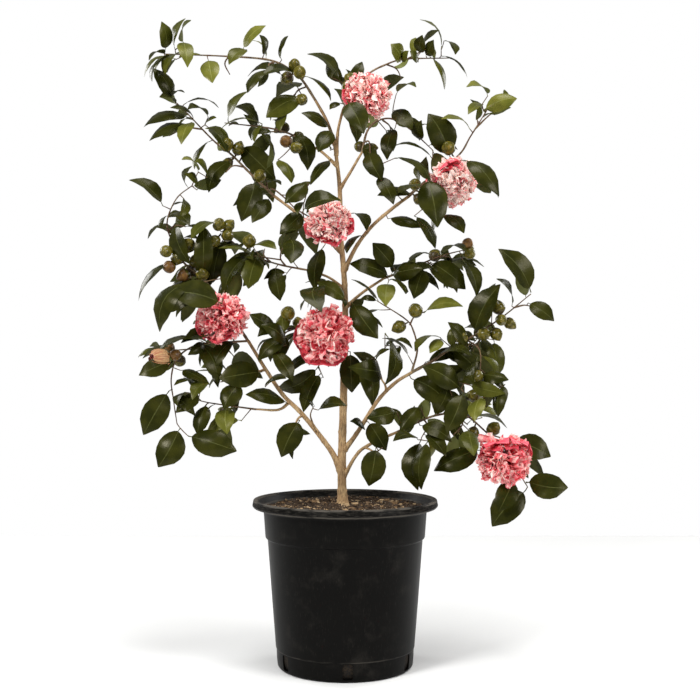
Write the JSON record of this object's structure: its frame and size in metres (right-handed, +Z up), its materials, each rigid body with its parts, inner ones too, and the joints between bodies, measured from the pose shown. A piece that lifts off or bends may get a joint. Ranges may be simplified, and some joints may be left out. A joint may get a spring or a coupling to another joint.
{
  "type": "potted camellia shrub",
  "caption": "Camellia shrub trained flat as an open fan, with glossy leaves, buds and full pink and red blossoms, growing in a round black plastic nursery pot.",
  "frame": {"origin": "centre of the pot's flat underside", "axes": "+Z up, +X to the right of the flat fan seen from its front, +Y back; the front is towards -Y"},
  "size_m": [0.7981, 0.3464, 1.172],
  "materials": {
    "pot": "moulded near-black polypropylene, satin, with light scuffs on the rim",
    "soil": "dark brown potting bark, matt",
    "bark": "smooth grey-tan bark with fine cracks",
    "foliage": "glossy dark green leaves with full pink and red blossoms and round green buds"
  },
  "bodies": {
    "root": {"pot": "pot", "soil": "soil", "trunk": "bark", "left_leader": "bark", "right_leader": "bark", "crown_left_bough": "bark", "crown_right_bough": "bark", "upper_left_bough": "bark", "upper_right_bough": "bark", "middle_left_bough": "bark", "middle_right_bough": "bark", "lower_left_bough": "bark", "low_side_bough": "bark", "knot_spur": "bark", "hanging_spur": "bark", "rising_spur": "bark", "lower_right_bough": "bark", "inner_spur": "bark", "lowest_right_bough": "bark", "foot_spur": "bark", "foot_leaves": "foliage", "inner_right_leaves": "foliage", "low_hanging_leaves": "foliage", "low_rising_leaves": "foliage", "left_knot_leaves": "foliage", "low_side_leaves": "foliage", "heart_left_leaves": "foliage", "heart_right_leaves": "foliage", "top_left_leaves": "foliage", "top_right_leaves": "foliage", "crown_left_leaves": "foliage", "crown_right_leaves": "foliage", "upper_left_leaves": "foliage", "upper_right_leaves": "foliage", "middle_left_leaves": "foliage", "middle_right_leaves": "foliage", "centre_left_leaves": "foliage", "left_leaves": "foliage", "left_hanging_leaves": "foliage", "right_leaves": "foliage", "right_rising_leaves": "foliage", "lowest_right_leaves": "foliage"}
  },
  "joints": []
}
